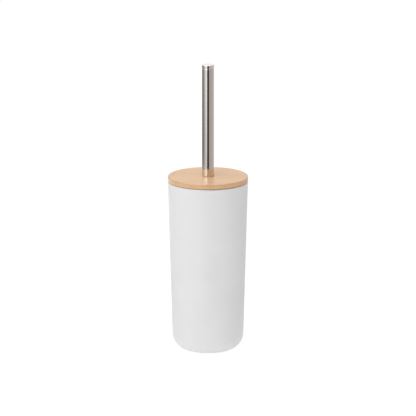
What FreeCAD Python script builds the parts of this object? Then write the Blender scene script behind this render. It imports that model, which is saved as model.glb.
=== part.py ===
"""Toilet brush and holder: a tapered white cup, a bamboo lid that carries the brush, a steel handle
that screws down on the lid, and a tufted brush head that screws on under it.

Millimetres, +Z up. The origin is on the axis, in the plane that the holder stands on.
One STEP file per sub-part goes into parts/.
"""

import FreeCAD, Part
import math
import os

V = FreeCAD.Vector
UP = V(0, 0, 1)

# ---------------------------------------------------------------- driving dimensions

# Cup: one moulded shell with a draft, standing on a soft ring let into its base.
cup_rim_radius = 48.8  # outside, at the top edge
cup_height = 210.6  # foot to rim
cup_draft = 1.55  # degrees, each side
cup_corner_radius = 19.0  # outside, between wall and base
cup_wall = 2.2
cup_floor = 3.2
cup_floor_rise = 1.2  # crown of the inside floor, so that drips run to its edge
cup_floor_crown_radius = 20.0
rim_round = 0.9
rim_inner_round = 0.5
base_recess_radius = 14.0  # panel inside the foot, with the moulding gate at its centre
base_recess_depth = 0.8
gate_radius = 2.5
gate_height = 0.4

# Anti-slip ring in the base.
foot_ring_inner_radius = 16.5
foot_ring_outer_radius = 23.0
foot_ring_thickness = 1.6
foot_ring_proud = 0.4  # how far it stands out of the cup
foot_ring_chamfer = 0.25

# Lid: a bamboo board with a moulded plug under it that centres it in the cup's mouth.
lid_overhang = 0.2  # beyond the cup's rim
lid_thickness = 6.5
lid_top_round = 0.9
lid_bottom_chamfer = 0.5
plug_clearance = 0.7  # between skirt and cup, all round
plug_web = 1.8
plug_skirt_height = 7.0
plug_skirt_thickness = 1.6
plug_boss_radius = 11.0
plug_boss_height = 10.0
plug_rib_thickness = 1.4
plug_rib_height = 5.2
plug_rib_count = 6
plug_edge_round = 0.5

# Screws between plug and board.
screw_count = 3
screw_circle_radius = 29.0
screw_shank_radius = 1.45
screw_length = 6.0
screw_head_radius = 2.9
screw_head_height = 1.9
screw_tip_length = 1.5
screw_tip_radius = 0.5
screw_drive_length = 3.5
screw_drive_width = 0.8
screw_drive_depth = 1.0
screw_hole_gap = 0.25  # in the plug's web, round the shank
pilot_gap = 0.05  # in the board, round the shank
pilot_extra_depth = 0.3

# Handle: a steel tube with a pressed cap above and a threaded insert below.
handle_radius = 7.3
handle_wall = 0.8
handle_length = 133.0
tube_end_bevel = 0.2
cap_height = 4.5  # of the part that shows
cap_flare = 0.25  # how far the cap's top stands out beyond the tube
cap_edge_round = 0.5
cap_spigot_length = 8.0
cap_spigot_wall = 1.0
insert_length = 16.0
washer_thickness = 0.5
washer_radius = 6.8

# Threads: both joints use the same coarse-pitch stud, drawn as a plain shank at its outer diameter.
stud_radius = 3.9
stud_chamfer = 0.6
thread_engagement = 10.0  # eight turns of 1.25
thread_gap = 0.08  # round the stud in a threaded piece
stud_hole_gap = 0.3  # round the stud in a piece it only passes through
stud_hold_length = 10.0  # in the plug that keeps the stud
thread_relief = 1.0  # room beyond the stud's end

# Rod: a thinner tube from the lid down to the head, with a flanged plug in each end.
rod_radius = 6.0
rod_wall = 0.8
rod_plug_length = 14.0
rod_top_flange_radius = 9.5
rod_top_flange_thickness = 2.0
rod_bottom_flange_radius = 7.5
rod_bottom_flange_thickness = 1.5
flange_round = 0.4

# Brush head: a moulded core, drilled for tufts that are anchored with flat wire.
core_radius = 13.0
core_straight_length = 60.0  # dome centre to collar
collar_radius = 20.0
collar_edge = 1.6
collar_slope_height = 7.0
neck_radius = 9.0
neck_height = 13.0
neck_edge_round = 0.8
nut_radius = 5.6
nut_length = 12.0
head_washer_thickness = 1.0
head_washer_radius = 8.5
head_clearance = 7.0  # between the cup and the trimmed bristles
tip_bristle_length = 15.0  # free length of the tuft on the axis
head_floor_margin = 2.0  # left under the tips when the head is unscrewed

# Tufts.
tuft_hole_radius = 2.2
tuft_hole_depth = 5.0
tuft_gap = 0.2  # round the tuft at the hole's mouth
tuft_flare_angle = 7.4  # degrees, each side
tuft_sides = 6
tufts_per_ring = 10
ring_count = 7
ring_pitch = 8.5
first_ring_height = 4.0  # lowest side ring, above the dome's centre
ring_tilt_angles = (-22.0, -13.0, -7.0, -3.0, 0.0, 3.0, 7.0)  # degrees from level, lowest ring first
dome_focus_height = 9.0  # the dome's holes aim at this point above its centre
dome_ring_angles = (66.0, 33.0)  # degrees up from the tip
dome_ring_counts = (8, 5)
anchor_height = 1.2
anchor_thickness = 0.5

# Fits inside one assembled piece.
seat_gap = 0.05  # round a pressed plug, cap or nut

# How near a circle has to be to the place asked for, when an edge is looked up for rounding.
edge_match = 0.001

# ---------------------------------------------------------------- places worked out from them

tan_draft = math.tan(math.radians(cup_draft))
cos_draft = math.cos(math.radians(cup_draft))

cup_bottom = foot_ring_proud
rim_level = cup_bottom + cup_height
floor_level = cup_bottom + cup_floor
lid_top = rim_level + lid_thickness
lid_radius = cup_rim_radius + lid_overhang
washer_top = lid_top + washer_thickness
handle_top = washer_top + handle_length

boss_bottom = rim_level - plug_boss_height
rod_top = boss_bottom - rod_top_flange_thickness

lowest_tip = floor_level + cup_floor_rise + thread_engagement + head_floor_margin
core_tip = lowest_tip + tip_bristle_length
dome_centre = core_tip + core_radius
collar_bottom = dome_centre + core_straight_length
neck_top = collar_bottom + collar_edge + collar_slope_height + neck_height
rod_flange_bottom = neck_top + head_washer_thickness
rod_bottom = rod_flange_bottom + rod_bottom_flange_thickness

handle_bore = handle_radius - handle_wall
rod_bore = rod_radius - rod_wall
through_radius = stud_radius + stud_hole_gap
thread_radius = stud_radius + thread_gap


def cup_inner_radius(level):
    """Inside radius of the cup's wall at a height above the ground."""
    return cup_rim_radius - (rim_level - level) * tan_draft - cup_wall / cos_draft


plug_radius = cup_inner_radius(rim_level - plug_skirt_height) - plug_clearance
head_radius = cup_inner_radius(dome_centre) - head_clearance


# ---------------------------------------------------------------- helpers


def line(a, b):
    """Straight edge between two (radius, height) points."""
    return Part.LineSegment(V(a[0], 0, a[1]), V(b[0], 0, b[1])).toShape()


def arc(a, b, c):
    """Circular edge through three (radius, height) points."""
    return Part.Arc(V(a[0], 0, a[1]), V(b[0], 0, b[1]), V(c[0], 0, c[1])).toShape()


def turned(edges):
    """Solid made by turning a closed outline about the axis."""
    return Part.Face(Part.Wire(edges)).revolve(V(0, 0, 0), UP, 360)


def turned_points(points):
    """Solid made by turning a closed polygon of (radius, height) points about the axis."""
    return turned([line(a, b) for a, b in zip(points, points[1:] + points[:1])])


def disc(radius, bottom, height, bore=0.0):
    """Cylinder on the axis, with a bore if one is given."""
    solid = Part.makeCylinder(radius, height, V(0, 0, bottom))
    if bore > 0:
        solid = solid.cut(Part.makeCylinder(bore, height, V(0, 0, bottom)))
    return solid


def circles_at(solid, level, radius):
    """The circular edges of a solid at one height and radius, for rounding them."""
    found = []
    for edge in solid.Edges:
        if edge.Degenerated or not isinstance(edge.Curve, Part.Circle):
            continue
        circle = edge.Curve
        same_size = abs(circle.Radius - radius) < edge_match
        same_place = (circle.Center - V(0, 0, level)).Length < edge_match
        if same_size and same_place:
            found.append(edge)
    return found


def rounded(solid, level, radius, size):
    """Rounds the circular edge at one height and radius."""
    return solid.makeFillet(size, circles_at(solid, level, radius))


def bevelled(solid, level, radius, size):
    """Bevels the circular edge at one height and radius."""
    return solid.makeChamfer(size, circles_at(solid, level, radius))


def around(shape, count, start=0.0):
    """Copies of a shape, evenly spaced about the axis."""
    copies = []
    for i in range(count):
        copy = shape.copy()
        copy.rotate(V(0, 0, 0), UP, start + i * 360.0 / count)
        copies.append(copy)
    return copies


def stud(bottom, top):
    """Threaded stud between two heights, with bevelled ends."""
    solid = disc(stud_radius, bottom, top - bottom)
    solid = bevelled(solid, top, stud_radius, stud_chamfer)
    return bevelled(solid, bottom, stud_radius, stud_chamfer)


# ---------------------------------------------------------------- holder


def cup_body(wall_offset, floor, corner_radius, top):
    """Tapered solid with a rounded base: the outside of the cup, or the room inside it."""
    radius_at_zero = cup_rim_radius - cup_height * tan_draft - wall_offset / cos_draft
    centre_height = floor + corner_radius
    centre_radius = radius_at_zero + centre_height * tan_draft - corner_radius / cos_draft
    half_turn = math.radians((90.0 - cup_draft) / 2)

    def on_corner(angle):
        return (
            centre_radius + corner_radius * math.sin(angle),
            centre_height - corner_radius * math.cos(angle),
        )

    start, middle, end = on_corner(0), on_corner(half_turn), on_corner(2 * half_turn)
    edges = [
        line((0, floor), start),
        arc(start, middle, end),
        line(end, (radius_at_zero + top * tan_draft, top)),
        line((radius_at_zero + top * tan_draft, top), (0, top)),
        line((0, top), (0, floor)),
    ]
    return turned(edges)


def floor_crown():
    """Shallow spherical rise in the middle of the inside floor."""
    base = (cup_floor_crown_radius, cup_floor)
    half_chord = cup_floor_crown_radius
    sphere_radius = (half_chord**2 + cup_floor_rise**2) / (2 * cup_floor_rise)
    centre = cup_floor + cup_floor_rise - sphere_radius
    middle_radius = half_chord / 2
    middle = (middle_radius, centre + math.sqrt(sphere_radius**2 - middle_radius**2))
    peak = (0, cup_floor + cup_floor_rise)
    embedded = cup_floor - cup_floor_rise
    edges = [
        arc(base, middle, peak),
        line(peak, (0, embedded)),
        line((0, embedded), (cup_floor_crown_radius, embedded)),
        line((cup_floor_crown_radius, embedded), base),
    ]
    return turned(edges)


def make_cup():
    outside = cup_body(0.0, 0.0, cup_corner_radius, cup_height)
    inside = cup_body(cup_wall, cup_floor, cup_corner_radius - cup_wall, cup_height)
    cup = outside.cut(inside).fuse(floor_crown()).removeSplitter()
    groove = disc(
        foot_ring_outer_radius + seat_gap,
        0,
        foot_ring_thickness - foot_ring_proud,
        foot_ring_inner_radius - seat_gap,
    )
    recess = disc(base_recess_radius, 0, base_recess_depth)
    gate = disc(gate_radius, base_recess_depth - gate_height, gate_height)
    cup = cup.cut([groove, recess]).fuse(gate).removeSplitter()
    inner_rim = cup_rim_radius - cup_wall / cos_draft
    cup = rounded(cup, cup_height, cup_rim_radius, rim_round)
    cup = rounded(cup, cup_height, inner_rim, rim_inner_round)
    cup.translate(V(0, 0, cup_bottom))
    return cup


def make_foot_ring():
    ring = disc(foot_ring_outer_radius, 0, foot_ring_thickness, foot_ring_inner_radius)
    ring = bevelled(ring, 0, foot_ring_outer_radius, foot_ring_chamfer)
    return bevelled(ring, 0, foot_ring_inner_radius, foot_ring_chamfer)


# ---------------------------------------------------------------- lid


def screw_places():
    """Angles of the screws, midway between two ribs of the plug."""
    first = 180.0 / plug_rib_count
    return [first + i * 360.0 / screw_count for i in range(screw_count)]


def at_screws(shape):
    """Copies of a shape made on the axis, moved to each screw."""
    copies = []
    for angle in screw_places():
        copy = shape.copy()
        copy.translate(V(screw_circle_radius, 0, 0))
        copy.rotate(V(0, 0, 0), UP, angle)
        copies.append(copy)
    return copies


def make_lid_board():
    board = disc(lid_radius, rim_level, lid_thickness, through_radius)
    board = rounded(board, lid_top, lid_radius, lid_top_round)
    board = bevelled(board, rim_level, lid_radius, lid_bottom_chamfer)
    depth = screw_length - plug_web + pilot_extra_depth
    pilot = disc(screw_shank_radius + pilot_gap, rim_level, depth)
    return board.cut(at_screws(pilot))


def make_lid_plug():
    skirt_bottom = rim_level - plug_skirt_height
    taper = plug_skirt_height * tan_draft
    outer = [
        (0, rim_level),
        (plug_radius + taper, rim_level),
        (plug_radius, skirt_bottom),
        (0, skirt_bottom),
    ]
    inner_top = rim_level - plug_web
    inner = [
        (0, inner_top),
        (plug_radius + taper - plug_skirt_thickness, inner_top),
        (plug_radius - plug_skirt_thickness, skirt_bottom),
        (0, skirt_bottom),
    ]
    plug = turned_points(outer)
    plug = rounded(plug, skirt_bottom, plug_radius, plug_edge_round)
    plug = plug.cut(turned_points(inner))
    boss = disc(plug_boss_radius, boss_bottom, plug_boss_height)
    boss = rounded(boss, boss_bottom, plug_boss_radius, plug_edge_round)
    rib_start = plug_boss_radius / 2
    rib_end = plug_radius - plug_skirt_thickness / 2
    rib = Part.makeBox(
        rib_end - rib_start,
        plug_rib_thickness,
        plug_rib_height,
        V(rib_start, -plug_rib_thickness / 2, rim_level - plug_rib_height),
    )
    plug = plug.fuse([boss] + around(rib, plug_rib_count)).removeSplitter()
    bore = disc(through_radius, boss_bottom, plug_boss_height)
    hole = disc(screw_shank_radius + screw_hole_gap, rim_level - plug_web, plug_web)
    return plug.cut([bore] + at_screws(hole))


def make_lid_screws():
    """Pan-head screws, up through the plug's web into the board."""
    seat = rim_level - plug_web
    head = disc(screw_head_radius, seat - screw_head_height, screw_head_height)
    head = rounded(head, seat - screw_head_height, screw_head_radius, screw_head_height / 2)
    straight = screw_length - screw_tip_length
    shank = disc(screw_shank_radius, seat, straight)
    tip = Part.makeCone(
        screw_shank_radius, screw_tip_radius, screw_tip_length, V(0, 0, seat + straight)
    )
    slot = Part.makeBox(
        screw_drive_length,
        screw_drive_width,
        screw_drive_depth,
        V(-screw_drive_length / 2, -screw_drive_width / 2, seat - screw_head_height),
    )
    cross = around(slot, 4)[:2]
    screw = head.fuse([shank, tip]).cut(cross).removeSplitter()
    return Part.makeCompound(at_screws(screw))


# ---------------------------------------------------------------- rod under the lid


def make_clamp_stud():
    """Stud that ties rod, plug, lid and handle together."""
    return stud(boss_bottom - stud_hold_length, washer_top + thread_engagement)


def make_rod_top_plug():
    flange = disc(rod_top_flange_radius, rod_top, rod_top_flange_thickness)
    flange = rounded(flange, rod_top, rod_top_flange_radius, flange_round)
    spigot = disc(rod_bore - seat_gap, rod_top - rod_plug_length, rod_plug_length)
    bore_bottom = boss_bottom - stud_hold_length
    bore = disc(thread_radius, bore_bottom, stud_hold_length)
    return flange.fuse(spigot).removeSplitter().cut(bore)


def make_rod_tube():
    return disc(rod_radius, rod_bottom, rod_top - rod_bottom, rod_bore)


def make_rod_bottom_plug():
    flange = disc(
        rod_bottom_flange_radius, rod_flange_bottom, rod_bottom_flange_thickness
    )
    flange = rounded(flange, rod_bottom, rod_bottom_flange_radius, flange_round)
    spigot = disc(rod_bore - seat_gap, rod_bottom, rod_plug_length)
    bore = disc(thread_radius, rod_flange_bottom, stud_hold_length)
    return flange.fuse(spigot).removeSplitter().cut(bore)


def make_head_stud():
    """Stud that the brush head screws onto."""
    bottom = rod_flange_bottom - head_washer_thickness - thread_engagement
    return stud(bottom, rod_flange_bottom + stud_hold_length)


# ---------------------------------------------------------------- handle


def make_handle_washer():
    return disc(washer_radius, lid_top, washer_thickness, through_radius)


def make_handle_tube():
    tube = disc(handle_radius, washer_top, handle_length, handle_bore)
    tube = bevelled(tube, washer_top, handle_radius, tube_end_bevel)
    return bevelled(tube, handle_top, handle_radius, tube_end_bevel)


def make_handle_insert():
    insert = disc(handle_bore - seat_gap, washer_top, insert_length)
    depth = thread_engagement + thread_relief
    return insert.cut(disc(thread_radius, washer_top, depth))


def make_handle_cap():
    """Turned cap, flared a little towards its flat top, with a hollow spigot inside the tube."""
    top = handle_top + cap_height
    top_radius = handle_radius + cap_flare
    head = Part.makeCone(handle_radius, top_radius, cap_height, V(0, 0, handle_top))
    head = rounded(head, top, top_radius, cap_edge_round)
    head = bevelled(head, handle_top, handle_radius, tube_end_bevel)
    spigot_radius = handle_bore - seat_gap
    spigot = disc(
        spigot_radius,
        handle_top - cap_spigot_length,
        cap_spigot_length,
        spigot_radius - cap_spigot_wall,
    )
    return head.fuse(spigot).removeSplitter()


# ---------------------------------------------------------------- brush head


def make_head_washer():
    return disc(head_washer_radius, neck_top, head_washer_thickness, through_radius)


def make_core_nut():
    return disc(nut_radius, neck_top - nut_length, nut_length, thread_radius)


def side_tufts(ring):
    """(point on the core, direction) of each tuft in a side ring; every other ring is staggered."""
    height = dome_centre + first_ring_height + ring * ring_pitch
    tilt = math.radians(ring_tilt_angles[ring])
    point = V(core_radius, 0, height)
    direction = V(math.cos(tilt), 0, math.sin(tilt))
    return spread(point, direction, tufts_per_ring, 0.5 if ring % 2 else 0.0)


def dome_tufts(angle_from_tip, count):
    """(point on the core, direction) of each tuft in a ring round the dome."""
    angle = math.radians(angle_from_tip)
    focus = V(0, 0, dome_centre + dome_focus_height)
    point = V(core_radius * math.sin(angle), 0, dome_centre - core_radius * math.cos(angle))
    return spread(point, (point - focus).normalize(), count, 0.5)


def spread(point, direction, count, stagger):
    """Turns one place and direction about the axis into count of them, begun a share of a step on."""
    places = []
    for i in range(count):
        turn = FreeCAD.Rotation(UP, (i + stagger) * 360.0 / count)
        places.append((turn.multVec(point), turn.multVec(direction)))
    return places


def free_length(point, direction):
    """Bristle length outside the core: the tufts are trimmed to a cylinder with a bowl below it."""
    flat = math.hypot(direction.x, direction.y)
    radial = math.hypot(point.x, point.y)
    to_cylinder = (head_radius - radial) / flat if flat > 1e-6 else math.inf
    drop = core_radius + tip_bristle_length
    height = point.z - dome_centre
    a = (flat / head_radius) ** 2 + (direction.z / drop) ** 2
    b = 2 * (radial * flat / head_radius**2 + height * direction.z / drop**2)
    c = (radial / head_radius) ** 2 + (height / drop) ** 2 - 1
    to_bowl = (-b + math.sqrt(max(b * b - 4 * a * c, 0.0))) / (2 * a)
    below = height + to_bowl * direction.z < 0
    return to_bowl if below else to_cylinder


def placed(shape, point, direction):
    """Moves a shape that was made along +Z at the origin to a point, along a direction."""
    shape.Placement = FreeCAD.Placement(point, FreeCAD.Rotation(UP, direction))
    return shape


def tuft(length):
    """Splayed bundle of bristles along +Z, with the core's surface at zero."""
    root = -tuft_hole_depth + anchor_height
    mouth_radius = tuft_hole_radius - tuft_gap
    growth = math.tan(math.radians(tuft_flare_angle))
    rims = []
    for height in (root, length):
        radius = mouth_radius + growth * height
        rims.append([
            V(
                radius * math.cos(2 * math.pi * i / tuft_sides),
                radius * math.sin(2 * math.pi * i / tuft_sides),
                height,
            )
            for i in range(tuft_sides)
        ])
    low, high = rims
    outlines = [low, high]
    for i in range(tuft_sides):
        j = (i + 1) % tuft_sides
        outlines.append([low[i], low[j], high[j], high[i]])
    faces = [Part.Face(Part.makePolygon(points + points[:1])) for points in outlines]
    solid = Part.Solid(Part.Shell(faces))
    if solid.Volume < 0:
        solid.reverse()
    return solid


def anchor():
    """Flat wire across the foot of a tuft's hole."""
    half_thickness = anchor_thickness / 2
    width = 2 * math.sqrt((tuft_hole_radius - seat_gap) ** 2 - half_thickness**2)
    return Part.makeBox(
        width,
        anchor_thickness,
        anchor_height,
        V(-width / 2, -half_thickness, -tuft_hole_depth),
    )


def tuft_groups():
    """Node name to the places of its tufts, from the top of the head to its tip."""
    groups = {}
    for ring in range(ring_count):
        groups[f"tuft_ring_{ring_count - ring}"] = side_tufts(ring)
    names = ("dome_tufts_outer", "dome_tufts_inner")
    for name, angle, count in zip(names, dome_ring_angles, dome_ring_counts):
        groups[name] = dome_tufts(angle, count)
    groups["tip_tuft"] = [(V(0, 0, core_tip), -UP)]
    return groups


def make_tufts(places):
    return Part.makeCompound(
        [placed(tuft(free_length(*place)), *place) for place in places]
    )


def make_anchors():
    anchors = []
    for places in tuft_groups().values():
        anchors += [placed(anchor(), *place) for place in places]
    return Part.makeCompound(anchors)


def make_brush_core():
    """Round-ended core with a splash collar and a threaded neck, drilled for every tuft."""
    slope_bottom = collar_bottom + collar_edge
    slope_top = slope_bottom + collar_slope_height
    quarter = core_radius * math.sqrt(0.5)
    tip = (0, core_tip)
    core = turned([
        arc(tip, (quarter, dome_centre - quarter), (core_radius, dome_centre)),
        line((core_radius, dome_centre), (core_radius, collar_bottom)),
        line((core_radius, collar_bottom), (collar_radius, collar_bottom)),
        line((collar_radius, collar_bottom), (collar_radius, slope_bottom)),
        line((collar_radius, slope_bottom), (neck_radius, slope_top)),
        line((neck_radius, slope_top), (neck_radius, neck_top)),
        line((neck_radius, neck_top), (0, neck_top)),
        line((0, neck_top), tip),
    ])
    core = rounded(core, neck_top, neck_radius, neck_edge_round)
    core = rounded(core, slope_bottom, collar_radius, collar_edge / 2)
    tools = [disc(nut_radius + seat_gap, neck_top - nut_length, nut_length)]
    for places in tuft_groups().values():
        for place in places:
            hole = Part.makeCylinder(
                tuft_hole_radius, tuft_hole_depth + 2 * tuft_hole_radius, V(0, 0, -tuft_hole_depth)
            )
            tools.append(placed(hole, *place))
    return core.cut(tools)


# ---------------------------------------------------------------- export


def parts():
    made = {
        "cup": make_cup(),
        "foot_ring": make_foot_ring(),
        "lid_board": make_lid_board(),
        "lid_plug": make_lid_plug(),
        "lid_screws": make_lid_screws(),
        "clamp_stud": make_clamp_stud(),
        "rod_top_plug": make_rod_top_plug(),
        "rod_tube": make_rod_tube(),
        "rod_bottom_plug": make_rod_bottom_plug(),
        "head_stud": make_head_stud(),
        "handle_washer": make_handle_washer(),
        "handle_tube": make_handle_tube(),
        "handle_insert": make_handle_insert(),
        "handle_cap": make_handle_cap(),
        "head_washer": make_head_washer(),
        "core_nut": make_core_nut(),
        "brush_core": make_brush_core(),
        "tuft_anchors": make_anchors(),
    }
    for name, places in tuft_groups().items():
        made[name] = make_tufts(places)
    return made


def main():
    os.makedirs("parts", exist_ok=True)
    for name, shape in parts().items():
        shape.exportStep(f"parts/{name}.step")
        print(f"{name}: {len(shape.Solids)} solids, {shape.Volume / 1000:.2f} cm3")


main()
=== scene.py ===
# %% [markdown]
# # A toilet brush and its holder
#
# The real thing is a moulded white cup with a bamboo lid. The lid belongs to the brush: a steel
# handle stands on it, and a steel rod with a tufted head hangs under it. This lesson dresses
# that set. The hard pieces come ready at their true size from a CAD frame, so most cells
# only write a finish for one of them. Two things are too fine for that frame and are modelled
# here: the bristles and the screw threads.
#
# Every length is in metres, and the cup stands on the plane z = 0 with its axis on z.

# %% Load the frame
import math
import random

import bmesh
import bpy
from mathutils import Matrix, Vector


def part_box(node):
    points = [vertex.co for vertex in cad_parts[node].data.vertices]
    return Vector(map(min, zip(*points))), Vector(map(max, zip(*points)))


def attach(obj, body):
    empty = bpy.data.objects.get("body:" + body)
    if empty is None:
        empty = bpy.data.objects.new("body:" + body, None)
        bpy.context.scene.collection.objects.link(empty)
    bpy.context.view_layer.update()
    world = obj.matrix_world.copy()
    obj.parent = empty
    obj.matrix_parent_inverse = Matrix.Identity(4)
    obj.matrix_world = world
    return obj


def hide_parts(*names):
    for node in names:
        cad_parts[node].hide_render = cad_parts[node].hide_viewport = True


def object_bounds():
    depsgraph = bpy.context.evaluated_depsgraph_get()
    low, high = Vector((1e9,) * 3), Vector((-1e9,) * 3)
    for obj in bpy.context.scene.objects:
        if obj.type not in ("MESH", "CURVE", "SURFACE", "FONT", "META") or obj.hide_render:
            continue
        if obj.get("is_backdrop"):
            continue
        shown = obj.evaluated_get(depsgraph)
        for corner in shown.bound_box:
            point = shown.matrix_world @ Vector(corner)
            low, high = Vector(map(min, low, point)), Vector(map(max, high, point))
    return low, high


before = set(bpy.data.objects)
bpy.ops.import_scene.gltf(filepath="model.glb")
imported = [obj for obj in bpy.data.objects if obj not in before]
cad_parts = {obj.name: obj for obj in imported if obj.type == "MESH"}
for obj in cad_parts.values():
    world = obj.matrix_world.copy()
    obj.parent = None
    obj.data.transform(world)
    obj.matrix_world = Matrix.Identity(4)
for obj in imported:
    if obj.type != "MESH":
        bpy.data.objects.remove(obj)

MM = 0.001
whole_low, whole_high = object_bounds()
cad_box = [list(whole_low), list(whole_high)]
height = whole_high.z - whole_low.z
print(f"{len(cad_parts)} pieces in the frame, {height / MM:.1f} mm high in all")

# %% [markdown]
# ## The camera
#
# The camera stands far away behind a long lens, so that the cup's sides and the handle
# stay nearly parallel. It looks down by about 14 degrees, enough to open the lid's
# ellipse. It could be placed by typing three coordinates, but a tilt, a distance and a
# point to aim at are what one sets on a real tripod.

# %% Aim the camera
CAMERA_TILT = math.radians(13.57)
CAMERA_DISTANCE = 4.008
CAMERA_LENS = 283.7  # mm, on a 36 mm sensor
AIM_SHARE = 0.4979  # of the whole height


def look_at(thing, target):
    """Turns a camera or lamp so that its -Z axis points at the target."""
    direction = Vector(target) - thing.location
    thing.rotation_euler = direction.to_track_quat("-Z", "Y").to_euler()


def linked(name, data):
    """New object in the scene that shows this data."""
    made = bpy.data.objects.new(name, data)
    bpy.context.scene.collection.objects.link(made)
    return made


camera = linked("camera", bpy.data.cameras.new("camera"))
aim = Vector((0, 0, whole_low.z + AIM_SHARE * height))
back = Vector((0, -math.cos(CAMERA_TILT), math.sin(CAMERA_TILT)))
camera.location = aim + CAMERA_DISTANCE * back
look_at(camera, aim)
camera.data.lens = CAMERA_LENS
camera.data.sensor_width = 36
bpy.context.scene.camera = camera
bpy.context.scene.view_settings.view_transform = "Standard"
print(f"camera {camera.location.y:.3f} m in front, {camera.location.z:.3f} m up")

# %% [markdown]
# ## A short way to write materials
#
# A material in Blender is a graph of nodes. Adding each node by hand takes five lines, and the
# idea of the finish drowns in them. These helpers add one node in one short call and return
# its output, so that a finish reads like a recipe. Values that are the same all over a surface
# go straight onto the shader's own sockets, where every exporter finds them.

# %% Helpers for node trees
NOISE_RANGE = 0.3, 0.7  # where most of a noise's values lie


class Graph:
    """A node tree, with short calls that add one node each and return its output."""

    def __init__(self, tree):
        self.tree = tree

    def node(self, kind, inputs=(), **settings):
        """Adds one node. Inputs are named or numbered sockets, settings are its properties."""
        made = self.tree.nodes.new("ShaderNode" + kind)
        for name, value in settings.items():
            setattr(made, name, value)
        for name, value in dict(inputs).items():
            self.feed(made.inputs[name], value)
        return made

    def feed(self, socket, value):
        """Links an output to a socket, or writes a number or colour on it."""
        if isinstance(value, bpy.types.NodeSocket):
            self.tree.links.new(value, socket)
        elif socket.type == "RGBA":
            socket.default_value = (*value, 1)
        else:
            socket.default_value = value

    def place(self, scale=(1, 1, 1), turn=0.0):
        """A point on the piece in metres, turned about z, then scaled."""
        point = self.node("TexCoord").outputs["Object"]
        turned = self.node("Mapping", {"Vector": point, "Rotation": (0, 0, turn)})
        return self.node("Mapping", {"Vector": turned.outputs[0], "Scale": scale}).outputs[0]

    def split(self, vector):
        """The x, y and z of a vector."""
        return self.node("SeparateXYZ", {"Vector": vector}).outputs

    def math(self, operation, *values):
        return self.node("Math", enumerate(values), operation=operation).outputs[0]

    def noise(self, vector, scale=1.0, detail=2.0):
        return self.node("TexNoise", {"Vector": vector, "Scale": scale, "Detail": detail}).outputs[0]

    def fit(self, value, low, high, new_low=0.0, new_high=1.0, smooth=False):
        """Maps low..high to new_low..new_high and stops at the ends."""
        inputs = {0: value, 1: low, 2: high, 3: new_low, 4: new_high}
        kind = "SMOOTHSTEP" if smooth else "LINEAR"
        return self.node("MapRange", inputs, interpolation_type=kind).outputs[0]

    def vary(self, noise, low=0.0, high=1.0):
        """Maps the usual range of a noise to low..high."""
        return self.fit(noise, *NOISE_RANGE, low, high)

    def radius(self, x, y):
        """Distance from the z axis."""
        squares = [self.math("MULTIPLY", value, value) for value in (x, y)]
        return self.math("SQRT", self.math("ADD", *squares))

    def near(self, value, width):
        """1 where the value is 0, fading to 0 at the width."""
        return self.fit(self.math("ABSOLUTE", value), width, 0.0, smooth=True)

    def seen(self):
        """1 for rays that look at a surface straight, mirrored or through glass, else 0."""
        path = self.node("LightPath").outputs
        looked = self.math("MAXIMUM", path["Is Camera Ray"], path["Is Glossy Ray"])
        return self.math("MAXIMUM", looked, path["Is Transmission Ray"])

    def ramp(self, factor, *stops):
        """Colours along a factor; each stop is (position, (red, green, blue))."""
        made = self.node("ValToRGB", {"Fac": factor})
        elements = made.color_ramp.elements
        while len(elements) < len(stops):
            elements.new(1.0)
        for element, (position, color) in zip(elements, stops):
            element.position = position
            element.color = (*color, 1)
        return made.outputs[0]

    def mix(self, factor, first, second, how="MIX"):
        """Blends two colours; at factor 1 only the second is left."""
        made = self.node("Mix", {0: factor, 6: first, 7: second}, data_type="RGBA", blend_type=how)
        return made.outputs[2]

    def shade(self, color, tone):
        """A colour made lighter or darker by a tone near 1."""
        grey = self.node("CombineColor", {0: tone, 1: tone, 2: tone}).outputs[0]
        return self.mix(1.0, color, grey, "MULTIPLY")

    def bump(self, height_value, depth):
        """Normals of a relief: the value 0..1 stands for 0..depth metres."""
        return self.node("Bump", {"Height": height_value, "Distance": depth, "Strength": 1.0}).outputs[0]


class Finish(Graph):
    """A material made of one Principled shader and what feeds it."""

    def __init__(self, name, color, roughness, **constants):
        self.material = bpy.data.materials.new(name)
        self.material.use_nodes = True
        super().__init__(self.material.node_tree)
        self.shader = self.tree.nodes["Principled BSDF"]
        self.use(Base_Color=color, Roughness=roughness, **constants)

    def use(self, **inputs):
        """Feeds the shader's own sockets; an underscore stands for a space."""
        for socket, value in inputs.items():
            self.feed(self.shader.inputs[socket.replace("_", " ")], value)
        return self

    def show(self, surface):
        """Shows another shader in place of the Principled one."""
        self.feed(self.tree.nodes["Material Output"].inputs["Surface"], surface)

    def on(self, *names):
        """Gives the finish to CAD pieces."""
        for name in names:
            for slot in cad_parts[name].material_slots:
                slot.material = self.material
        print(f"{self.material.name}: {', '.join(names)}")


print("helpers ready")

# %% [markdown]
# ## The floor and the white behind it
#
# The set stands on white with no horizon. Pouring more light on the floor until it clips
# would burn out the white cup as well. So the floor and the sky glow white only
# for rays that look at them, straight, mirrored or through glass. The rays
# that carry soft light meet white paint, faintly lit from below like a light table, and a
# calmer dome. To a ray that looks, the floor is mostly glow with a little lit paint, and
# that little keeps the soft shadow where the cup stands.

# %% Floor and sky
SKY_LIGHT = 0.46  # the dome's level for soft light
FLOOR_PAINT = 0.92
TABLE_LIGHT = 0.16
SEEN_GLOW = 0.91  # with the lit paint, this comes to the sky's own white
SEEN_PAINT = 0.19
FLOOR_RADIUS = 9.0
FLOOR_SIDES = 96


def disc_mesh(name, radius, sides):
    mesh = bpy.data.meshes.new(name)
    shape = bmesh.new()
    bmesh.ops.create_circle(shape, cap_ends=True, segments=sides, radius=radius)
    shape.to_mesh(mesh)
    shape.free()
    return mesh


def grey(level):
    return (level, level, level)


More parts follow.
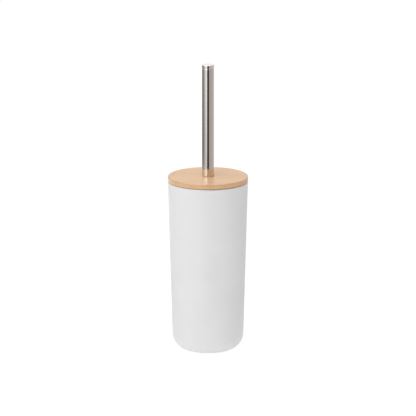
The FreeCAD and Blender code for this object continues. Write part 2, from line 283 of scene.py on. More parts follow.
def paint_floor():
    paint = Finish("floor_white", grey(1), 0.9, Specular_IOR_Level=0.0, Emission_Color=grey(1))
    seen = paint.seen()
    paint.use(
        Base_Color=paint.mix(seen, grey(FLOOR_PAINT), grey(SEEN_PAINT)),
        Emission_Strength=paint.fit(seen, 0, 1, TABLE_LIGHT, SEEN_GLOW),
    )

    # From below the floor is clear, so that a low view can look up through it.
    clear = paint.node("BsdfTransparent").outputs[0]
    behind = paint.node("NewGeometry").outputs["Backfacing"]
    paint.show(paint.node("MixShader", {0: behind, 1: paint.shader.outputs[0], 2: clear}).outputs[0])
    return paint.material


floor = linked("floor", disc_mesh("floor", FLOOR_RADIUS, FLOOR_SIDES))
floor.data.materials.append(paint_floor())
floor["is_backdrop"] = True

world = bpy.data.worlds.new("white_room")
world.use_nodes = True
bpy.context.scene.world = world
sky = Graph(world.node_tree)
dome = world.node_tree.nodes["Background"]
sky.feed(dome.inputs["Color"], grey(1))
sky.feed(dome.inputs["Strength"], sky.fit(sky.seen(), 0, 1, SKY_LIGHT, 1.0))
print(f"floor {2 * FLOOR_RADIUS:.0f} m across, soft light from the sky {SKY_LIGHT}")

# %% [markdown]
# ## The lamps
#
# The lid's flat top is the brightest part of the wood, and the left of the cup is a little
# brighter than its right, with no hard edge anywhere. Two softboxes do that: a square one
# overhead and a tall one at the front left. The dome and the floor fill the rest. Small
# lamps would be simpler, but they would leave hot spots on the satin plastic.

# %% Softboxes
SOFTBOXES = {  # turn from the camera's side and rise in degrees, distance and size in metres, watts
    "top_softbox": (0, 90, 1.8, (1.4, 1.4), 11.0),
    "side_softbox": (-36, 24, 2.2, (1.1, 1.7), 11.0),
}


def around_axis(turn, rise, distance):
    """A point that far from the object's middle; turn 0 is towards the camera."""
    turn, rise = math.radians(turn), math.radians(rise)
    flat = distance * math.cos(rise)
    return aim + Vector((flat * math.sin(turn), -flat * math.cos(turn), distance * math.sin(rise)))


for name, (turn, rise, distance, size, watts) in SOFTBOXES.items():
    lamp = linked(name, bpy.data.lights.new(name, "AREA"))
    lamp.data.shape = "RECTANGLE"
    lamp.data.size, lamp.data.size_y = size
    lamp.data.energy = watts
    lamp.location = around_axis(turn, rise, distance)
    lamp.visible_camera = False
    look_at(lamp, aim)
    print(f"{name} {distance} m away, {watts} W")

# %% [markdown]
# ## Cards for the steel
#
# Polished metal shows the room more than itself. In a white room a steel tube turns white
# and vanishes, so a studio stands grey and black cards round it. Here they are one tall curved
# card, open at the back and painted with upright bands: a bright one at the left, a
# narrow black one in front, and warm grey at the right. Its foot runs in over the floor
# towards the cup, so the tube keeps its bands when one looks down on it. Only mirrored
# rays see it, so it neither lights nor shades the cup.

# %% Curved card
CARD_RADIUS = 0.62
CARD_HEIGHT = 0.95
CARD_REACH = 157  # degrees to each side of the camera; the rest is open
CARD_SIDES = 120
CARD_BANDS = (  # degrees from the camera's side, negative to the left; then the paint
    (-180, (0.27, 0.27, 0.26)),
    (-100, (0.27, 0.27, 0.25)),
    (-76, (0.50, 0.50, 0.48)),
    (-54, (0.85, 0.86, 0.85)),
    (-34, (1.12, 1.15, 1.18)),
    (-17, (1.16, 1.20, 1.24)),
    (-15.5, (0.045, 0.04, 0.035)),
    (17, (0.05, 0.04, 0.03)),
    (20, (0.46, 0.44, 0.43)),
    (45, (0.55, 0.53, 0.52)),
    (75, (0.56, 0.52, 0.53)),
    (100, (0.66, 0.62, 0.62)),
    (180, (0.56, 0.54, 0.55)),
)
FADE_RISE = (0.05, 0.21)  # metres: the left of the card is dim up to here, and full from there
DIM_LEFT = 0.60
WINDOW_GLOW_RISE = (0.24, 0.36)  # metres: higher up, the left of the card glows as bright as a window, a painted highlight
WINDOW_GLOW_MORE = 2.4
GLOW_RISE = (0.088, 0.07)  # metres, from none to full: painted glow on the card's low left, standing in for the softbox's light
GLOW_TURN = (-40, -72)  # degrees, from none to full
GLOW_PAINT = (2.6, 2.6, 2.5)
GLOW_ON_FOOT = 0.35
FOOT_RADIUS = 0.13
FOOT_LIFT = 0.0005  # keeps the card's foot off the floor


def curved_card():
    mesh = bpy.data.meshes.new("curved_card")
    shape = bmesh.new()
    edges = []
    for side in range(CARD_SIDES + 1):
        turn = math.radians(CARD_REACH * (2 * side / CARD_SIDES - 1))
        x, y = CARD_RADIUS * math.sin(turn), -CARD_RADIUS * math.cos(turn)
        inner = FOOT_RADIUS / CARD_RADIUS
        places = (x * inner, y * inner, FOOT_LIFT), (x, y, FOOT_LIFT), (x, y, CARD_HEIGHT)
        edges.append([shape.verts.new(place) for place in places])
    for (foot_a, low_a, high_a), (foot_b, low_b, high_b) in zip(edges, edges[1:]):
        shape.faces.new((foot_a, foot_b, low_b, low_a))
        shape.faces.new((low_a, low_b, high_b, high_a))
    shape.to_mesh(mesh)
    shape.free()
    return mesh


# The card is no lamp, yet its paint glows: every band on it is painted light for the steel to mirror.
def paint_card():
    paint = Finish("card_paint", grey(0), 1.0)
    x, y, z = paint.split(paint.node("TexCoord").outputs["Object"])
    turn = paint.math("ARCTAN2", x, paint.math("MULTIPLY", y, -1.0))
    share = paint.fit(turn, -math.pi, math.pi)
    bands = paint.ramp(share, *(((degrees + 180) / 360, color) for degrees, color in CARD_BANDS))
    glow = paint.fit(turn, *(math.radians(degrees) for degrees in GLOW_TURN), smooth=True)
    glow = paint.math("MULTIPLY", glow, paint.fit(z, *GLOW_RISE, smooth=True))
    glow = paint.math("MULTIPLY", glow, paint.fit(z, FOOT_LIFT, 2 * FOOT_LIFT, GLOW_ON_FOOT, 1.0))
    bands = paint.mix(glow, bands, GLOW_PAINT)
    left = paint.math("LESS_THAN", turn, 0.0)
    dim = paint.fit(left, 0, 1, 1.0, DIM_LEFT)
    strength = paint.fit(z, *FADE_RISE, dim, 1.0)
    window_glow = paint.fit(z, *WINDOW_GLOW_RISE, 0.0, WINDOW_GLOW_MORE, smooth=True)
    more = paint.math("MULTIPLY_ADD", left, window_glow, 1.0)
    strength = paint.math("MULTIPLY", strength, more)
    paint.show(paint.node("Emission", {"Color": bands, "Strength": strength}).outputs[0])
    return paint.material


card = linked("curved_card", curved_card())
card.data.materials.append(paint_card())
for kind in ("camera", "diffuse", "transmission", "volume_scatter", "shadow"):
    setattr(card, f"visible_{kind}", False)
card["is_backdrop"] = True
print(f"card {2 * CARD_RADIUS} m across, {len(CARD_BANDS)} stops of paint")

# %% [markdown]
# ## The cup's white plastic
#
# The cup is moulded polypropylene with a satin finish. The mould's wall is blasted with fine
# grit, and that leaves the plastic a soft sheen instead of a shine. One roughness number would
# give the sheen, but the real skin is never even: it flows in faint clouds, and the
# rim and the foot, which hands and floors rub, are a little smoother. So the roughness
# is a noise with a smoother band at the top and bottom, over a grain too fine to count.

# %% Satin polypropylene
CUP_WHITE = (0.88, 0.88, 0.88)
PLUG_WHITE = (0.80, 0.80, 0.79)
CLOUD_SCALE = 24.0
CLOUD_TONE = (0.985, 1.015)
GRIT_SCALE = 2600.0
GRIT_DEPTH = 0.010 * MM
RUB_BAND = 4 * MM
RUB_GLOSS = 0.10  # how much smoother the rubbed bands are
CUP_ROUGHNESS = (0.42, 0.50)


def moulded(name, color, roughness):
    """Satin moulded plastic: even colour with faint clouds, and a fine blasted grain."""
    made = Finish(name, color, roughness)
    point = made.place()
    clouds = made.noise(point, CLOUD_SCALE, 3.0)
    grain = made.noise(point, GRIT_SCALE)
    made.use(
        Base_Color=made.shade(color, made.vary(clouds, *CLOUD_TONE)),
        Normal=made.bump(grain, GRIT_DEPTH),
    )
    return made, clouds


cup_low, cup_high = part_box("cup")
cup_finish, cup_clouds = moulded("cup_white", CUP_WHITE, 0.46)
cup_z = cup_finish.split(cup_finish.place())[2]
near_rim = cup_finish.fit(cup_z, cup_high.z - RUB_BAND, cup_high.z, smooth=True)
near_foot = cup_finish.fit(cup_z, cup_low.z + RUB_BAND, cup_low.z, smooth=True)
rubbed = cup_finish.math("MAXIMUM", near_rim, near_foot)
satin = cup_finish.vary(cup_clouds, *CUP_ROUGHNESS)
smoother = cup_finish.math("MULTIPLY", rubbed, RUB_GLOSS)
cup_finish.use(Roughness=cup_finish.math("SUBTRACT", satin, smoother))
cup_finish.on("cup")

plug_finish, _ = moulded("plug_white", PLUG_WHITE, 0.42)
plug_finish.on("lid_plug")

# %% [markdown]
# ## The foot ring
#
# A soft grey ring is let into the cup's base, so that the cup neither slips nor
# scratches. Thermoplastic rubber is matt and gathers dust: a coarse roughness, a dull
# speckle in the colour and a slight pebble in the relief tell it from the plastic.

# %% Thermoplastic rubber
RUBBER_GREY = (0.30, 0.30, 0.31)
DUST_GREY = (0.42, 0.42, 0.41)
SPECKLE_SCALE = 1800.0
DUST_RANGE = 0.45, 0.75  # of the speckle, from clean to dusty
PEBBLE_DEPTH = 0.03 * MM

rubber = Finish("foot_grey", RUBBER_GREY, 0.85, Specular_IOR_Level=0.3)
speckle = rubber.noise(rubber.place(), SPECKLE_SCALE, 4.0)
dust = rubber.fit(speckle, *DUST_RANGE)
rubber.use(
    Base_Color=rubber.mix(dust, RUBBER_GREY, DUST_GREY),
    Normal=rubber.bump(speckle, PEBBLE_DEPTH),
)
rubber.on("foot_ring")

# %% [markdown]
# ## The bamboo lid
#
# The lid is turned from laminated bamboo: strips about two centimetres wide, glued edge
# to edge in three plies, the middle one laid across the others. A flat picture of wood
# wrapped round the disc would show the same grain on its edge as on its face, which real
# wood never does. So the grain is a solid texture, cut by the surface like the real
# board: long fibres on the faces, dots where a ply meets the edge end on.
# The strips differ a little in tone, and here and there one shows a knuckle, the darker
# ring where the cane had a joint.

# %% Bamboo board
BAMBOO_PALE = (0.906, 0.592, 0.338)
BAMBOO_DEEP = (0.783, 0.46, 0.234)
KNUCKLE_BROWN = (0.47, 0.26, 0.12)
EDGE_DARK_BROWN = (0.31, 0.15, 0.065)
GRAIN_TURN = math.radians(7)
STRIP_WIDTH = 19.5 * MM
STRIP_SHIFT = 6.5 * MM
STRIP_WOBBLE = 0.35 * MM
WOBBLE_SCALE = 18.0
GRAIN_SLIDE = 3.0  # metres: how far the grain of one strip is slid along at most
FACE_SEED = 2.0
CROSS_SEED = 9.0
KNUCKLE_SEED = 31.7
PLY = 2.2 * MM
GLUE_LINE = 0.16 * MM
GLUE_GROOVE = -0.8  # in parts of the grain's depth
KNUCKLE_SPACING = 0.19
KNUCKLE_WIDTH = 1.6 * MM
KNUCKLE_WAVE = 2.5 * MM
KNUCKLE_SHIFT = 6 * MM
KNUCKLE_TINT = 0.42  # how brown a knuckle is at most, and likewise below
GLUE_TINT = 0.55
SEAM_TINT = 0.6
STRIP_SHARE = 0.22  # of the deep colour, the part that changes from strip to strip
GRAINS = {  # how many to the metre along, across and in depth; share of the deep colour
    "broad": ((7, 130, 130), 0.42),
    "fibre": ((16, 900, 900), 0.30),
    "thread": ((60, 2400, 2400), 0.12),
}
FIBRE_RANGE = 0.35, 0.65  # narrower than the others', so the fibres show more
GRAIN_DEPTH = 0.012 * MM
LACQUER_ROUGHNESS = (0.30, 0.40)
CORNER = 1.0 * MM
RIM_GLOSS = 0.18
# Dark lines along the lid's corners; the lower one is painted shade of the gap between lid and cup.
UPPER_LINE = 1.4 * MM  # below the top
UPPER_DARKENING = 0.12
LOWER_LINE = 1.3 * MM  # above the underside
LOWER_SHADE = 0.9

lid_low, lid_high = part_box("lid_board")
lid_radius = lid_high.x


def random_per(finish, number, seed):
    """One random value 0..1 for each whole number."""
    moved = finish.math("ADD", number, seed)
    return finish.node("TexWhiteNoise", {"W": moved}, noise_dimensions="1D").outputs[0]


def bamboo_ply(finish, along, across, depth, seed):
    """Colour and relief of one ply whose strips run along the first coordinate."""
    flat = finish.node("CombineXYZ", {0: along, 1: across}).outputs[0]
    wobble = finish.noise(flat, WOBBLE_SCALE, 1.0)
    across = finish.math("ADD", across, finish.math("MULTIPLY", wobble, STRIP_WOBBLE))
    strip_place = finish.math("DIVIDE", finish.math("ADD", across, STRIP_SHIFT), STRIP_WIDTH)
    strip = finish.math("FLOOR", strip_place)
    in_strip = finish.math("FRACT", strip_place)
    tone = random_per(finish, strip, seed)

    # Fibres: three sizes of noise, drawn out along the strip and different in each strip.
    moved = finish.math("ADD", along, finish.math("MULTIPLY", tone, GRAIN_SLIDE))
    point = finish.node("CombineXYZ", {0: moved, 1: across, 2: depth}).outputs[0]
    grains = {}
    figure = finish.math("MULTIPLY", tone, STRIP_SHARE)
    for name, (scale, share) in GRAINS.items():
        drawn_out = finish.node("Mapping", {"Vector": point, "Scale": scale}).outputs[0]
        grains[name] = finish.noise(drawn_out)
        contrast = FIBRE_RANGE if name == "fibre" else NOISE_RANGE
        figure = finish.math("MULTIPLY_ADD", finish.fit(grains[name], *contrast), share, figure)
    color = finish.mix(figure, BAMBOO_PALE, BAMBOO_DEEP)

    # Knuckles: dark, slightly wavy rings at a spacing, shifted in each strip.
    offset = finish.math("MULTIPLY", random_per(finish, strip, seed + KNUCKLE_SEED), KNUCKLE_SPACING)
    step = finish.math("PINGPONG", finish.math("ADD", along, offset), KNUCKLE_SPACING / 2)
    uneven = finish.math("MULTIPLY_ADD", grains["broad"], KNUCKLE_WAVE, step)
    knuckle = finish.near(finish.math("SUBTRACT", uneven, KNUCKLE_SHIFT), KNUCKLE_WIDTH)
    color = finish.mix(finish.math("MULTIPLY", knuckle, KNUCKLE_TINT), color, KNUCKLE_BROWN)

    # Glue lines between the strips.
    edge = finish.math("MULTIPLY", finish.math("PINGPONG", in_strip, 0.5), STRIP_WIDTH)
    glue = finish.near(edge, GLUE_LINE)
    color = finish.mix(finish.math("MULTIPLY", glue, GLUE_TINT), color, KNUCKLE_BROWN)
    relief = finish.math("MULTIPLY_ADD", glue, GLUE_GROOVE, finish.vary(grains["fibre"]))
    return color, relief


def bamboo():
    made = Finish("bamboo", BAMBOO_PALE, 0.3, IOR=1.5)
    x, y, z = made.split(made.place(turn=GRAIN_TURN))
    face_color, face_relief = bamboo_ply(made, x, y, z, FACE_SEED)
    cross_color, cross_relief = bamboo_ply(made, y, x, z, CROSS_SEED)

    # The middle ply runs across, and thin seams part it from the outer two.
    upper_seam = made.math("SUBTRACT", z, lid_high.z - PLY)
    lower_seam = made.math("SUBTRACT", z, lid_low.z + PLY)
    below_upper = made.math("LESS_THAN", upper_seam, 0.0)
    above_lower = made.math("GREATER_THAN", lower_seam, 0.0)
    middle = made.math("MULTIPLY", below_upper, above_lower)
    color = made.mix(middle, face_color, cross_color)
    relief = made.node("Mix", {0: middle, 2: face_relief, 3: cross_relief}).outputs[0]
    seam = made.math("MAXIMUM", made.near(upper_seam, GLUE_LINE), made.near(lower_seam, GLUE_LINE))
    color = made.mix(made.math("MULTIPLY", seam, SEAM_TINT), color, KNUCKLE_BROWN)

    # A faint darker line runs under the upper corner, and the lower corner is painted dark
    # brown: painted shade of the narrow gap where the lid sits on the cup.
    at_rim = made.fit(made.radius(x, y), lid_radius - CORNER, lid_radius - CORNER / 2, smooth=True)
    upper = made.near(made.math("SUBTRACT", z, lid_high.z - UPPER_LINE), CORNER)
    lower = made.fit(z, lid_low.z + LOWER_LINE, lid_low.z + LOWER_LINE / 3, smooth=True)
    upper_darkening = made.math("MULTIPLY", upper, UPPER_DARKENING)
    edge_darkening = made.math("MAXIMUM", upper_darkening, made.math("MULTIPLY", lower, LOWER_SHADE))
    color = made.mix(made.math("MULTIPLY", edge_darkening, at_rim), color, EDGE_DARK_BROWN)

    # The lacquer lies thin on the face and thicker, so smoother, on the rim.
    lacquer = made.fit(relief, 0.0, 1.0, *LACQUER_ROUGHNESS)
    lacquer = made.math("SUBTRACT", lacquer, made.math("MULTIPLY", at_rim, RIM_GLOSS))
    made.use(Base_Color=color, Roughness=lacquer, Normal=made.bump(relief, GRAIN_DEPTH))
    return made


bamboo().on("lid_board")

# %% [markdown]
# ## Steel
#
# The handle and the rod are thin stainless tube, ground round and round on a belt. The grinding
# leaves scratches that all run round the tube, so a reflection stays crisp sideways and
# smears up and down. The Principled shader calls this anisotropy. The radial tangent runs
# round the tube, and a quarter turn lays the smear along its axis. The scratches
# themselves are a noise squeezed to hairlines, and they move the roughness as well as
# the relief. The cap on the end is turned on a lathe instead, so its flat top carries
# fine rings.

# %% Ground tube and turned cap
STEEL_WARM = (0.70, 0.645, 0.605)
# Painted light: the cap's steel is made paler than the tube's, for the light its top catches from above.
STEEL_PAINTED_LIT = (0.79, 0.77, 0.75)
HAIRLINES = (45, 45, 9000)  # noise scale across and along the axis
PATCHES = (60, 60, 14)
HAIRLINE_RANGE = 0.25, 0.75
HAIRLINE_SHARE = 0.7  # of the change in roughness; the rest is patches
TUBE_TONE = (0.97, 1.02)
CAP_TONE = (0.96, 1.02)
CAP_ROUGHNESS = (0.09, 0.16)
RING_SHARE = 0.25  # of the cap's relief
SMEAR_SHARE = 0.5
SCRATCH_DEPTH = 0.0012 * MM
RING_PITCH = 0.35 * MM
ANISOTROPY = 0.55
QUARTER_TURN = 0.25  # of a whole turn


def ground_steel(name, color, roughness, spread):
    made = Finish(name, color, roughness, Metallic=1.0)
    made.use(Anisotropic=ANISOTROPY, Anisotropic_Rotation=QUARTER_TURN)
    hairlines = made.noise(made.place(HAIRLINES), 1.0, 3.0)
    patches = made.noise(made.place(PATCHES), 1.0, 2.0)
    tangent = made.node("Tangent", direction_type="RADIAL", axis="Z").outputs[0]
    scratched = made.vary(hairlines, 0, HAIRLINE_SHARE)
    worn = made.math("ADD", scratched, made.vary(patches, 0, 1 - HAIRLINE_SHARE))
    made.use(
        Base_Color=made.shade(color, made.fit(hairlines, *HAIRLINE_RANGE, *TUBE_TONE)),
        Roughness=made.fit(worn, 0.0, 1.0, roughness - spread, roughness + spread),
        Normal=made.bump(hairlines, SCRATCH_DEPTH),
        Tangent=tangent,
    )
    return made


def turned_steel(name, color):
    made = Finish(name, color, 0.2, Metallic=1.0)
    x, y, _ = made.split(made.place())
    rings = made.math("SINE", made.math("MULTIPLY", made.radius(x, y), 2 * math.pi / RING_PITCH))
    smear = made.noise(made.place(HAIRLINES), 1.0, 3.0)
    relief = made.math("MULTIPLY_ADD", rings, RING_SHARE, made.math("MULTIPLY", smear, SMEAR_SHARE))
    made.use(
        Base_Color=made.shade(color, made.fit(smear, *HAIRLINE_RANGE, *CAP_TONE)),
        Roughness=made.fit(relief, 0.0, 0.6, *CAP_ROUGHNESS),
        Normal=made.bump(relief, 2 * SCRATCH_DEPTH),
    )
    return made


ground_steel("satin_steel", STEEL_WARM, 0.09, 0.03).on("handle_tube", "rod_tube")
# The cap is the same steel as the tube; its paler colour is painted light, for the stronger light on its
# top.
turned_steel("bright_steel", STEEL_PAINTED_LIT).on("handle_cap")

# %% [markdown]
# ## Small hardware
#
# Screws, studs and the flat wires that hold the tufts are zinc plated, the nut in the brush
# head is brass, the plugs in the tubes are grey nylon, and the washers are milky silicone. Each
# is small and mostly out of sight, but each shows when the brush is taken apart, so
# each gets its own short recipe: cloudy plating, the same on brass, nylon with flow
# marks, silicone that lets a little light through. The core is moulded like the cup.

# %% Zinc, brass, nylon, silicone
ZINC = (0.60, 0.61, 0.63)
BRASS = (0.72, 0.54, 0.25)
NYLON_GREY = (0.24, 0.24, 0.25)
# Partly the silicone's own milky colour, partly painted light: a warm tint for the bamboo's colour
# showing through.
SILICONE_AND_BAMBOO_LIGHT = (0.84, 0.76, 0.66)
CORE_WHITE = (0.84, 0.84, 0.835)
FLOW_MARKS = (220, 220, 90)  # noise scale across and along the axis
BLOOM_SCALE = 900.0
BLOOM_DEPTH = 0.004 * MM
PEEL_DEPTH = 0.02 * MM


def plated(name, color, roughness):
    made = Finish(name, color, roughness, Metallic=1.0)
    bloom = made.noise(made.place(), BLOOM_SCALE, 3.0)
    made.use(
        Base_Color=made.shade(color, made.vary(bloom, 0.88, 1.05)),
        Roughness=made.vary(bloom, roughness - 0.06, roughness + 0.1),
        Normal=made.bump(bloom, BLOOM_DEPTH),
    )
    return made


def flowed(name, color, roughness, **constants):
    """Small moulded pieces: faint flow marks and a slight orange peel."""
    made = Finish(name, color, roughness, **constants)
    flow = made.noise(made.place(FLOW_MARKS), 1.0, 2.0)
    made.use(
        Base_Color=made.shade(color, made.vary(flow, 0.93, 1.04)),
        Roughness=made.vary(flow, roughness - 0.05, roughness + 0.05),
        Normal=made.bump(flow, PEEL_DEPTH),
    )
    return made


zinc = plated("zinc_steel", ZINC, 0.3)
zinc.on("lid_screws", "tuft_anchors", "clamp_stud", "head_stud")
plated("nut_brass", BRASS, 0.28).on("core_nut")
flowed("plug_grey", NYLON_GREY, 0.45).on("rod_top_plug", "rod_bottom_plug", "handle_insert")
# The washers' warm pale colour is partly painted light: it lightens the shade in the gap under the
# handle.
silicone = flowed("washer_clear", SILICONE_AND_BAMBOO_LIGHT, 0.4, Transmission_Weight=0.35, IOR=1.41)
silicone.on("handle_washer", "head_washer")
core_finish, _ = moulded("core_white", CORE_WHITE, 0.3)
core_finish.on("brush_core")

# %% [markdown]
# ## Screw threads
#
# Handle and head screw onto 8 mm studs. In the frame a stud is a plain bar at its outer
# diameter, because threads would cost the checks a lot and tell them nothing. To the eye
# a stud with no thread is a dowel, so here each is modelled as the thread really is: a
# V-shaped ridge that climbs one pitch for each turn. A screw modifier could sweep it, but a
# plain grid is tidier: every point's radius follows from how far it is from
# the nearest ridge, and the last turns fade into the bevelled ends.

# %% Threaded studs
THREAD_PITCH = 1.25 * MM
THREAD_DEPTH = 0.62 * MM
THREAD_FLAT = 0.12  # share of a pitch that is flat, at the crest and at the root
THREAD_STEPS = 10  # rows in one pitch
THREAD_SIDES = 48
STUD_BEVEL = 0.8 * MM


def ridge(share):
    """Height 0..1 of the thread's profile across one pitch, with flat crest and root."""
    slope = abs(2 * (share % 1.0) - 1)
    return min(1.0, max(0.0, (slope - THREAD_FLAT) / (1 - 2 * THREAD_FLAT)))


def thread_mesh(name, radius, bottom, top):
    mesh = bpy.data.meshes.new(name)
    shape = bmesh.new()
    rows = round((top - bottom) / THREAD_PITCH * THREAD_STEPS)
    grid = []
    for row in range(rows + 1):
        z = bottom + (top - bottom) * row / rows
        to_end = min(z - bottom, top - z)
        limit = radius - max(0.0, STUD_BEVEL - to_end)
        ring = []
        for side in range(THREAD_SIDES):
            turn = side / THREAD_SIDES
            depth = THREAD_DEPTH * (1 - ridge(z / THREAD_PITCH - turn))
            r = min(radius - depth, limit)
            angle = 2 * math.pi * turn
            ring.append(shape.verts.new((r * math.cos(angle), r * math.sin(angle), z)))
        grid.append(ring)
    for lower, upper in zip(grid, grid[1:]):
        for side in range(THREAD_SIDES):
            after = (side + 1) % THREAD_SIDES
            shape.faces.new((lower[side], lower[after], upper[after], upper[side])).smooth = True
    shape.faces.new(reversed(grid[0]))
    shape.faces.new(grid[-1])
    shape.to_mesh(mesh)
    shape.free()
    return mesh


def cut_thread(name, node, body):
    low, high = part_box(node)
    stud = linked(name, thread_mesh(name, high.x, low.z, high.z))
    stud.data.materials.append(zinc.material)
    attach(stud, body)
    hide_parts(node)
    print(f"{name}: {(high.z - low.z) / THREAD_PITCH:.1f} turns, {len(stud.data.polygons)} faces")


cut_thread("clamp_stud_thread", "clamp_stud", "stem")
cut_thread("head_stud_thread", "head_stud", "stem")

# %% [markdown]
# ## Bristles
#
# The head is a plastic core drilled with holes, and each hole holds a folded bundle of
# nylon bristles. In the frame a bundle is one solid, flared like a bouquet, which is right for
# weight and for contact. What one sees is the single hairs: they leave the hole packed,
# spread, bend a little each in its own way, and end together where the machine
# trimmed them. A particle system could grow hair, but its curves aren't meshes and come out
# the same for every export only with care. So each hair is built as a thin
# four-sided tube, and the frame's own bundles say where it starts, where it points and
# how far it goes.

# %% Find the bundles in the frame
def islands(node):
    """Corner points of each separate solid of a node."""
    shape = bmesh.new()
    shape.from_mesh(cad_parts[node].data)
    bmesh.ops.remove_doubles(shape, verts=shape.verts, dist=0.01 * MM)
    left = set(shape.verts)
    found = []
    while left:
        group = set()
        queue = [left.pop()]
        while queue:
            vert = queue.pop()
            group.add(vert)
            for edge in vert.link_edges:
                other = edge.other_vert(vert)
                if other in left:
                    left.remove(other)
                    queue.append(other)
        found.append(sorted(tuple(vert.co) for vert in group))
    shape.free()
    return [[Vector(point) for point in group] for group in sorted(found)]


def bundle(points):
    """Foot, tip, foot radius and tip radius of a flared bundle, from the corners of its two ends."""
    middle = sum(points, Vector()) / len(points)
    axis = max(points, key=lambda point: (point - middle).length) - middle
    for _ in range(8):  # the long direction, by repeated averaging
        axis = sum(((point - middle) * (point - middle).dot(axis) for point in points), Vector())
        axis.normalize()
    ends = [[], []]
    for point in points:
        ends[(point - middle).dot(axis) > 0].append(point)
    sizes = []
    for end in ends:
        centre = sum(end, Vector()) / len(end)
        sizes.append((sum((point - centre).length for point in end) / len(end), centre))
    (foot_radius, foot), (tip_radius, tip) = sorted(sizes, key=lambda size: size[0])
    return foot, tip, foot_radius, tip_radius


tuft_nodes = sorted(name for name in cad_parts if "tuft" in name and name != "tuft_anchors")
bundles = {name: [bundle(points) for points in islands(name)] for name in tuft_nodes}
tuft_count = sum(len(found) for found in bundles.values())
trim_radius = max(math.hypot(tip.x, tip.y) for found in bundles.values() for _, tip, _, _ in found)
print(f"{tuft_count} bundles, trimmed to {2 * trim_radius / MM:.1f} mm across")

# %% [markdown]
# The hairs of one bundle start on a sunflower pattern, which packs points evenly in a
# circle, and keep their order as they spread. Each then gets a small random bend and
# a slightly random length, from one seeded generator, so the brush is the same every time.

# %% Grow the bristles
HAIRS_PER_TUFT = 58
HAIR_RADIUS = 0.21 * MM
HAIR_SIDES = 4
HAIR_STEPS = 4
HAIR_TAPER = 0.25  # how much thinner a hair is at its end
HAIR_BEND = 0.45 * MM
BEND_EASE = 0.4  # how far the bend eases off towards the end
HAIR_TRIM = 0.35 * MM  # how unevenly the ends are cut
HAIR_SHORTEST = 0.94  # of a hair's reach from the bundle's axis
ANGLE_SLACK = 0.12  # radians to each side of a hair's place in the pattern
DOME_TILT = 0.5  # a tuft that points down more than this belongs to the dome
GOLDEN_ANGLE = math.pi * (3 - math.sqrt(5))
FOOT_SPREAD = 1.15  # of the bundle's own radius at its foot
TIP_SPREAD = 1.18

rng = random.Random(7)


def hair_line(start, end, bend):
    """Points from start to end on a gentle curve."""
    points = []
    for step in range(HAIR_STEPS + 1):
        share = step / HAIR_STEPS
        points.append(start.lerp(end, share) + bend * share * share * (1 - BEND_EASE * share))
    return points


def hair_tube(shape, line):
    """Closed tube along a line, a little thinner towards its end."""
    along = (line[-1] - line[0]).normalized()
    side = along.orthogonal().normalized()
    other = along.cross(side)
    rings = []
    for i, point in enumerate(line):
        radius = HAIR_RADIUS * (1 - HAIR_TAPER * i / HAIR_STEPS)
        ring = []
        for corner in range(HAIR_SIDES):
            angle = 2 * math.pi * corner / HAIR_SIDES
            offset = side * math.cos(angle) + other * math.sin(angle)
            ring.append(shape.verts.new(point + radius * offset))
        rings.append(ring)
    for lower, upper in zip(rings, rings[1:]):
        for corner in range(HAIR_SIDES):
            after = (corner + 1) % HAIR_SIDES
            shape.faces.new((lower[corner], lower[after], upper[after], upper[corner])).smooth = True
    shape.faces.new(reversed(rings[0]))
    shape.faces.new(rings[-1])


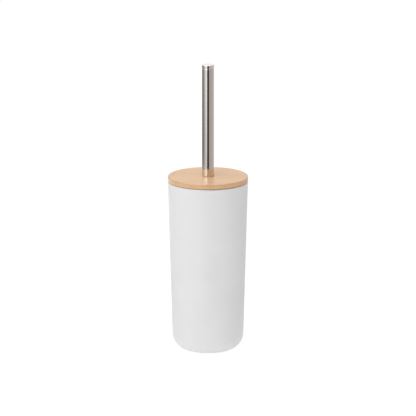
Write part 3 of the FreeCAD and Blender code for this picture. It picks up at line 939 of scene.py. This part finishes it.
def grow_tuft(shape, foot, tip, foot_radius, tip_radius):
    """Hairs of one bundle. Ring tufts are trimmed to a cylinder, dome tufts to a ball."""
    axis = (tip - foot).normalized()
    on_dome = -axis.z > DOME_TILT
    level = axis.cross(Vector((0, 0, 1)))
    level = level.normalized() if level.length > 0.01 else Vector((1, 0, 0))
    upright = level.cross(axis)
    spin = rng.uniform(0, 2 * math.pi)
    for hair in range(HAIRS_PER_TUFT):
        share = math.sqrt((hair + 0.5) / HAIRS_PER_TUFT)
        angle = spin + hair * GOLDEN_ANGLE + rng.uniform(-ANGLE_SLACK, ANGLE_SLACK)
        across = level * math.cos(angle) + upright * math.sin(angle)
        start = foot + across * foot_radius * FOOT_SPREAD * share
        reach = tip_radius * TIP_SPREAD * share * rng.uniform(HAIR_SHORTEST, 1.0)
        curved = reach if on_dome else reach * math.cos(angle)
        trimmed = curved**2 / (2 * trim_radius) + rng.uniform(0, HAIR_TRIM)
        end = tip + across * reach - axis * trimmed
        bend = (level * rng.gauss(0, 1) + upright * rng.gauss(0, 1)) * HAIR_BEND
        straight_end = end - bend * (1 - BEND_EASE)
        hair_tube(shape, hair_line(start, straight_end, bend))


def bristle_piece(name, found):
    mesh = bpy.data.meshes.new(name)
    shape = bmesh.new()
    for one in found:
        grow_tuft(shape, *one)
    shape.to_mesh(mesh)
    shape.free()
    return linked(name, mesh)


# %% [markdown]
# Nylon bristle is milky: light goes a little way in, so the head looks soft and
# bright between the hairs. On hairs this thin, strong subsurface light would only add
# coloured noise. So the shader has a touch of it and a very pale colour, and light that
# bounces from hair to hair does the rest. A faint change of tone keeps the tufts apart.

# %% Nylon finish
BRISTLE_WHITE = (0.96, 0.96, 0.955)
TUFT_SCALE = 420.0
HAIR_GRAIN_SCALE = 5000.0
HAIR_GRAIN_DEPTH = 0.01 * MM

nylon = Finish(
    "bristle_white", BRISTLE_WHITE, 0.38, IOR=1.53, Subsurface_Weight=0.05, Subsurface_Scale=0.001
)
tone = nylon.noise(nylon.place(), TUFT_SCALE)
hair_grain = nylon.noise(nylon.place(), HAIR_GRAIN_SCALE, 1.0)
nylon.use(
    Base_Color=nylon.shade(BRISTLE_WHITE, nylon.vary(tone, 0.96, 1.02)),
    Roughness=nylon.vary(tone, 0.34, 0.44),
    Normal=nylon.bump(hair_grain, HAIR_GRAIN_DEPTH),
)

hairs = 0
for node, found in bundles.items():
    piece = bristle_piece(f"bristles_{node}", found)
    piece.data.materials.append(nylon.material)
    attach(piece, "head")
    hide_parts(node)
    hairs += HAIRS_PER_TUFT * len(found)
print(f"{hairs} bristles in {len(bundles)} pieces")

# %% [markdown]
# ## Size, and the end
#
# The box of the bare frame was kept at the start; here it is held against the box of the
# dressed model, and the largest difference between the two is printed.

# %% Sizes and finish
dressed = [list(corner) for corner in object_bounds()]
growth = max(abs(a - b) for i in range(2) for a, b in zip(cad_box[i], dressed[i]))
print(f"the looks change the box by {growth / MM:.2f} mm at most")
